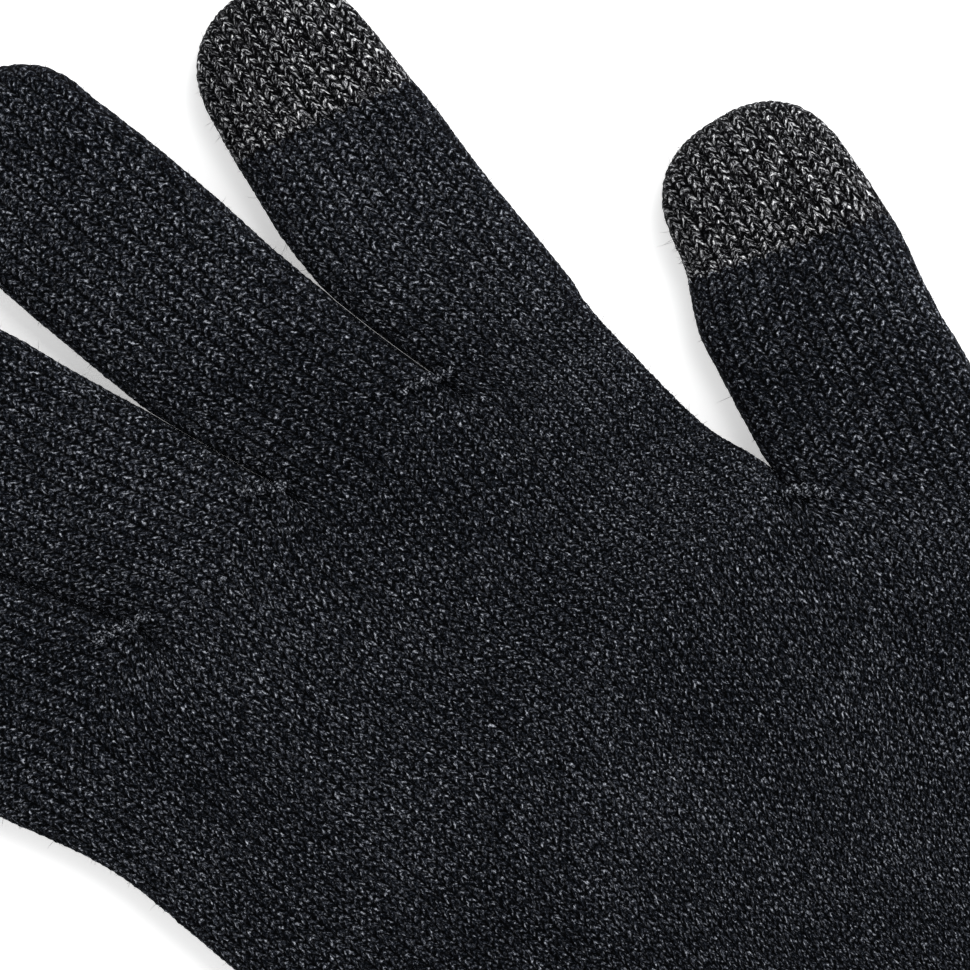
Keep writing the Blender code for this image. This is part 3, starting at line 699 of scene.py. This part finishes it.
# Black yarn plied with silver-coated filament: bright metal flecks in the legs
conductive_yarn = yarn_material(
    "silver plied conductive yarn",
    ((0.0, "#000001"), (0.465, "#030304"), (0.52, "#343438"), (0.57, "#a2a3a7"), (0.66, "#ffffff")),
    0.85, (0.2, 0.7, 2.6, 0.3), 0.04, metal=(0.5, 0.62, 0.35), sheen=0.01,
)


def wrapped_yarn_material():
    """The same marl wound round itself: fine light specks of noise on nearly black."""
    material, tree, shader = new_material("wrapped marl yarn", Roughness=0.9, Specular_IOR_Level=0.05)
    place = node(tree, "TexCoord").outputs["Object"]
    speck = node(tree, "TexNoise", None, Vector=place, Scale=2600.0, Detail=2.0).outputs[0]
    stops = ((0.0, "#030406"), (0.46, "#0a0c10"), (0.55, "#3b3e45"), (0.68, "#a4a7ad"))
    tree.links.new(ramp(tree, speck, stops), shader.inputs["Base Color"])
    return material


wrapped_yarn = wrapped_yarn_material()
# Rubber-cored yarn, dull dark grey
elastic = new_material("covered elastic yarn", Base_Color=paint("#26282b"), Roughness=0.8)[0]
# Woven satin tape: pale grey, a soft shine along the weave
label_tape = new_material("satin label tape", Base_Color=paint("#b9bbbd"), Roughness=0.5, Sheen_Weight=0.2)[0]
# Spun sewing thread, a little darker than the tape
thread = new_material("spun sewing thread", Base_Color=paint("#6d7074"), Roughness=0.75)[0]


# Camera, floor and light


def look_down(x, y, turn, width):
    """A camera straight above a point, turned about the vertical, that sees width across the glove's top."""
    data = bpy.data.cameras.new("camera")
    camera = bpy.data.objects.new("camera", data)
    bpy.context.scene.collection.objects.link(camera)
    camera.location = (x * MM, y * MM, 0.710)
    camera.rotation_euler = (0, 0, math.radians(turn))
    data.lens = 36.0 * 700.0 / width
    data.clip_start, data.clip_end = 0.05, 5.0
    bpy.context.scene.camera = camera


def area_light(name, place, aim, size, power):
    """A square lamp at a place, turned to its aim."""
    data = bpy.data.lights.new(name, "AREA")
    data.size, data.energy = size, power
    lamp = bpy.data.objects.new(name, data)
    bpy.context.scene.collection.objects.link(lamp)
    lamp.location = place
    from_aim = np.array(place) - np.array(aim)
    flat = math.hypot(from_aim[0], from_aim[1])
    lamp.rotation_euler = (math.atan2(flat, from_aim[2]), 0, math.atan2(from_aim[0], -from_aim[1]))


def studio():
    """A pale table top, one broad lamp over the thumb's side, and an even pale surround."""
    material, _, shader = new_material("white table top", Roughness=0.9)
    shader.inputs["Base Color"].default_value = (0.9, 0.9, 0.9, 1.0)
    shader.inputs["Emission Color"].default_value = paint("#ffffff")
    shader.inputs["Emission Strength"].default_value = 0.42
    points = np.array([[-9000, -9000, 0], [9000, -9000, 0], [9000, 9000, 0], [-9000, 9000, 0]], float)
    mesh_object("table top", points, np.array([[0, 1, 2, 3]]), material)
    area_light("broad lamp", (0.75, 0.02, 0.85), (0.03, 0.03, 0.0), 0.9, 11.0)
    world = bpy.data.worlds.new("surround")
    world.use_nodes = True
    world.node_tree.nodes["Background"].inputs[0].default_value = paint("#ffffff")
    world.node_tree.nodes["Background"].inputs[1].default_value = 0.7
    bpy.context.scene.world = world
    bpy.context.scene.view_settings.view_transform = "Standard"


# Putting the glove together

joints = {joint["name"]: joint for joint in frame["joints"]}


def joint_place(name):
    """A joint's place in mm and the way its finger points, level and square to its hinge."""
    joint = joints[name]
    ax, ay = joint["axis"][:2]
    return np.array(joint["pos_m"]) / MM, np.array([-ay, ax, 0.0])


def bend(obj):
    """Bakes a piece's place into its mesh; it is not blended across any joint."""
    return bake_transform(obj)


def face_middles(grid):
    """Middle of each face, and the mean wale and course there."""
    quads, wales, courses = corners(grid)
    return grid["points"].reshape(-1, 3)[quads].mean(axis=1), wales.mean(axis=1), courses.mean(axis=1)


def past(middles, name, share):
    """Which faces lie past a place: share of the way from this joint to the next one along the finger."""
    place, way = joint_place(name[0])
    other = joint_place(name[1])[0]
    cut = place + (other - place) * share
    return (middles - cut) @ way > 0


def build_finger(name, grid):
    """A finger's pieces: body yarn cut into a root, a middle and an end piece halfway between its joints, and
    conductive yarn on the index finger's tip. The yarn changes along the edge of a course of stitches."""
    middles, wales, courses = face_middles(grid)
    middle = past(middles, (name + "_middle_fold", name + "_knuckle_fold"), 0.5)
    end = past(middles, (name + "_tip_fold", name + "_middle_fold"), 0.5)
    across = leg_shape(wales, courses)[1]
    silver = np.zeros(len(wales), bool)
    if name in CONDUCTIVE_FROM:
        silver = across > silver_course(name)
    base = knit_piece(name + " root knit", grid, ~middle, body_yarn)
    bend(base)
    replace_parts(base, name + "_proximal")
    waist = knit_piece(name + " middle knit", grid, middle & ~end & ~silver, body_yarn)
    bend(waist)
    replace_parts(waist, name + "_middle")
    if (end & ~silver).any():
        tip = knit_piece(name + " end knit", grid, end & ~silver, body_yarn)
        bend(tip)
    if silver.any():
        early = silver & ~end
        if early.any():
            start = knit_piece(name + " silver start knit", grid, early, conductive_yarn)
            bend(start)
        tip = knit_piece(name + " silver end knit", grid, silver & end, conductive_yarn)
        bend(tip)
    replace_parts(tip, "index_conductive_tip" if name == "index" else name + "_distal")


def build_thumb(grid):
    """The thumb's pieces: its base, then both yarns past a cut part way from its root joint to its tip joint.
    """
    middles, wales, courses = face_middles(grid)
    place, way = joint_place("thumb_tip_fold")
    root = joint_place("thumb_root_fold")[0]
    far = (middles - (root + (place - root) * 0.62)) @ way > 0
    silver = leg_shape(wales, courses)[1] > silver_course("thumb")
    base = knit_piece("thumb base knit", grid, ~far, body_yarn)
    bend(base)
    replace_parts(base, "thumb_base")
    band = knit_piece("thumb end knit", grid, far & ~silver, body_yarn)
    bend(band)
    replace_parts(band, "thumb_distal")
    tip = knit_piece("thumb silver end knit", grid, far & silver, conductive_yarn)
    bend(tip)
    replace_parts(tip, "thumb_conductive_tip")


def build_palm(lower, upper):
    """The palm in bands short enough to stay light: the heel on its own, the rest attached to the hand."""
    middles = face_middles(lower)[0]
    heel = middles[:, 1] < HEEL_TOP
    low = middles[:, 1] < LOWER_PALM_TOP
    parts = [
        ("palm heel knit", lower, heel),
        ("lower palm knit", lower, ~heel & low),
        ("middle palm knit", lower, ~heel & ~low),
    ]
    middles = face_middles(upper)[0]
    parts += [
        ("upper palm little side knit", upper, middles[:, 0] < 0.0),
        ("upper palm index side knit", upper, middles[:, 0] >= 0.0),
    ]
    for name, grid, chosen in parts:
        obj = knit_piece(name, grid, chosen, body_yarn)
        if name == "palm heel knit":
            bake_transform(obj)
            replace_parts(obj, "palm_tube")
        else:
            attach(obj, "hand")


# The cuff and the small pieces


def cuff_ring(y, inset, count):
    """Rings of the cuff at each y, so many mm inside its outer surface: a flattened tube's section."""
    at, half = np.array(CUFF_OUTLINE).T
    half = np.interp(y, at, half) - inset
    across, up = half_section(count, CUFF_FLATNESS)
    high = np.maximum(CUFF_HALF_HEIGHT - inset, 0.02)[:, None] * up
    x = half[:, None] * across
    y = np.broadcast_to(y[:, None], x.shape)
    front = np.stack([x, y, CUFF_MIDDLE + high], axis=-1)
    back = np.stack([x, y, CUFF_MIDDLE - high], axis=-1)
    return front_and_back(front, back)


def build_cuff():
    """The cuff's wall in one surface: a bag closed inside the palm, down the inside to the mouth, round the
    fold, and up the outside to just under the palm's end. The ribs fade out under the palm."""
    inside = np.concatenate([np.array([-14.0, -14.5, -16.0]), np.linspace(-20.0, -128.0, 60)])
    inset = np.concatenate([np.array([4.49, 3.2, 2.0]), np.full(60, CUFF_WALL)])
    outside = np.linspace(-128.0, -67.0, int(61.0 / COURSE * 3))
    y = np.concatenate([inside, [-128.8, -129.2, -128.8], outside])
    inset = np.concatenate([inset, [1.2, 0.75, 0.3], np.where(outside > -70.5, 0.3, 0.0)])
    points = cuff_ring(y, inset, RIBS * PER_WALE)
    length = np.concatenate([[0.0], np.cumsum(np.abs(np.diff(y)))]) / COURSE
    column = np.arange(points.shape[1]) / PER_WALE
    ridge = np.abs(np.cos(np.pi * column))[None, :] ** 0.9
    outer = smooth((np.arange(len(y)) - len(inside)) / 6.0) * smooth((-70.0 - y) / 3.0)
    stitches = 1 + 0.22 * np.cos(2 * np.pi * leg_shape(column + 0.5, length[:, None])[1])
    relief = ridge * (0.12 + 0.58 * outer[:, None]) * stitches
    points = points + outward(points) * relief[..., None]
    grid = {"points": points, "course": length[:, None] * np.ones(points.shape[1]), "first": 0.5}
    everything = np.ones((len(y) - 1) * points.shape[1], bool)
    cuff = knit_piece("cuff knit", grid, everything, rib_yarn, fibres=0.012)
    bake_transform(cuff)
    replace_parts(cuff, "rib_cuff")
    return cuff


def build_elastics():
    """Elastic yarns laid round in the cuff's wall."""
    for number, y in enumerate(ELASTICS, start=1):
        line = cuff_ring(np.array([y]), np.array([0.8]), 100)[0]
        band = strand(f"elastic yarn {number}", np.concatenate([line, line[:1]]), 0.45, elastic, 6)
        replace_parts(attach(band, "cuff"), f"cuff_elastic_{number}")


def build_overlock():
    """The overlocked mouth: one yarn wound round the fold, a helix along the cuff's ring."""
    turns, steps = 132, 13
    ring = cuff_ring(np.array([-129.0]), np.array([0.75]), 400)[0]
    share = np.arange(turns * steps + 1) / (turns * steps)
    ring = np.concatenate([ring, ring[:1]])
    number = np.arange(len(ring))
    at = np.stack([np.interp(share * number[-1], number, ring[:, k]) for k in range(3)], axis=1)
    around = np.gradient(at, axis=0)
    out = np.cross(around, (0.0, 1.0, 0.0))
    out /= np.linalg.norm(out, axis=1, keepdims=True)
    turn = 2 * np.pi * turns * share[:, None]
    line = at + out * 0.95 * np.cos(turn) + np.array([0.0, 1.35, 0.0]) * np.sin(turn)
    edge = strand("overlocked edge", line, 0.36, wrapped_yarn, 6)
    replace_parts(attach(edge, "cuff"), "cuff_overlock_edge")


def build_label():
    """The blank label laid on the cuff's inner wall, waved by a product of sines, and its sewn line."""
    x, y = np.meshgrid(np.linspace(-23.0, 3.0, 53), np.linspace(-125.5, -109.5, 33))
    lift = 3.0 + 0.12 * np.sin(x / 4.0 + 1.0) * np.cos(y / 5.0)
    index = np.arange(x.size).reshape(x.shape)
    quads = np.stack([index[:-1, :-1], index[:-1, 1:], index[1:, 1:], index[1:, :-1]], axis=-1)
    quads = quads.reshape(-1, 4)
    places = np.stack([x, y, lift], axis=-1).reshape(-1, 3)
    fitted = (places[:, :2] - places[0, :2]) / (26.0, 16.0) * 0.996 + 0.002
    label = mesh_object("blank label", places, quads, label_tape, {"OFBake": fitted[quads]})
    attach(label, "cuff")
    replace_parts(label, "care_label")

    x = np.linspace(-21.0, 1.0, 150)
    line = np.stack([x, np.full(150, -123.1), 3.12 + 0.3 * np.sin(x * 2 * np.pi / 2.2)], axis=1)
    seam = strand("label stitches", line, 0.14, thread, 6)
    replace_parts(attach(seam, "cuff"), "label_stitching")


def build_tacks():
    """The tacks that close the holes at the crotches: a yarn wound five times along each, its ends sunk."""
    for name, start, end in TACKS:
        share = np.linspace(0.0, 1.0, 110)[:, None]
        start, end = np.array(start), np.array(end)
        way = (end - start) / np.linalg.norm(end - start)
        side = np.array([-way[1], way[0], 0.0])
        turn = 2 * np.pi * 5.0 * share
        swell = 0.35 + 0.65 * np.sin(np.pi * share) ** 0.5
        wound = side * 0.62 * np.cos(turn) + np.array([0, 0, 0.5]) * np.sin(turn)
        line = start + (end - start) * share + swell * wound
        line += side * 0.25 * np.sin(share * 5.0) + np.array([0, 0, -0.5]) * (2 * share - 1) ** 4
        tack = strand(name.replace("_", " ") + " yarn", line, 0.42, wrapped_yarn, 7)
        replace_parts(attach(tack, "hand"), name)


look_down(25.84, 33.47, -50.3, 144.8)
studio()
fingers = {name: finger_tube(name) for name in WALES}
lower, upper = palm_tubes(fingers)
build_palm(lower, upper)
for name in reversed(FOUR_FINGERS):
    build_finger(name, fingers[name])
build_thumb(fingers["thumb"])
cuff = build_cuff()
build_elastics()
build_overlock()
build_label()
build_tacks()
